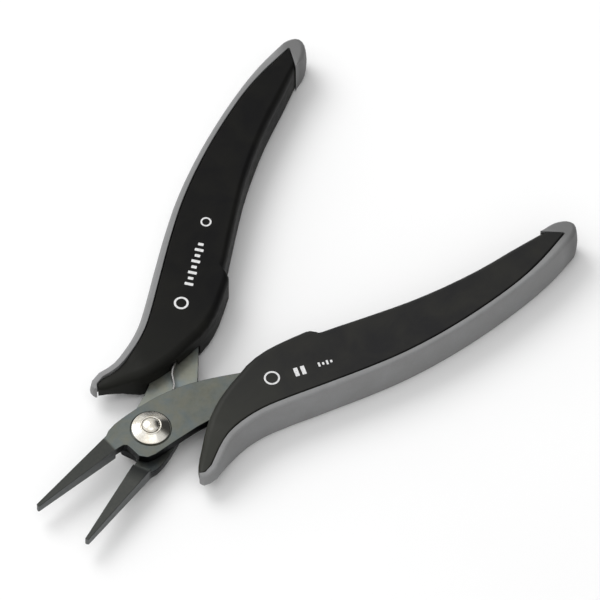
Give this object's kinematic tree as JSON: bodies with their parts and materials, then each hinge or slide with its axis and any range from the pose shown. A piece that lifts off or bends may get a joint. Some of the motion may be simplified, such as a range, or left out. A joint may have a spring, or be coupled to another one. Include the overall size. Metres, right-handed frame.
{
  "type": "precision pliers",
  "caption": "Small electronics pliers with flat snipe-nose jaws, a lap joint on a domed rivet, leaf return springs and curved two-tone soft-edged grips.",
  "frame": {"origin": "on the pivot axis, at the flat back of the rivet's head", "axes": "+Z along the pivot axis, from the flat rivet head towards the conical collar; +X from the pivot along the line midway between the open handles; +Y towards the rear lever's handle"},
  "size_m": [0.1399, 0.0894, 0.0105],
  "materials": {
    "blackened_steel": "blackened, fine satin",
    "nickel": "bright turned nickel",
    "spring_steel": "bright rolled strip",
    "hard_black": "smooth matte moulding",
    "soft_grey": "soft matte overmoulding"
  },
  "bodies": {
    "front": {"front_lever": "blackened_steel", "front_grip_core": "hard_black", "front_grip_sleeve": "soft_grey", "front_return_spring": "spring_steel", "pivot_rivet": "nickel", "pivot_collar": "nickel"},
    "rear": {"rear_lever": "blackened_steel", "rear_grip_core": "hard_black", "rear_grip_sleeve": "soft_grey", "rear_return_spring": "spring_steel"}
  },
  "joints": [
    {"name": "handles_close", "type": "hinge", "parent": "front", "child": "rear", "pos_m": [0, 0, 0.00335], "axis": [0, 0, -1], "range_deg": [0, 23.5], "stiffness_Nm_per_rad": 0.6, "springref_deg": -8.59, "deforming": ["rear_return_spring", "front_return_spring"]}
  ]
}
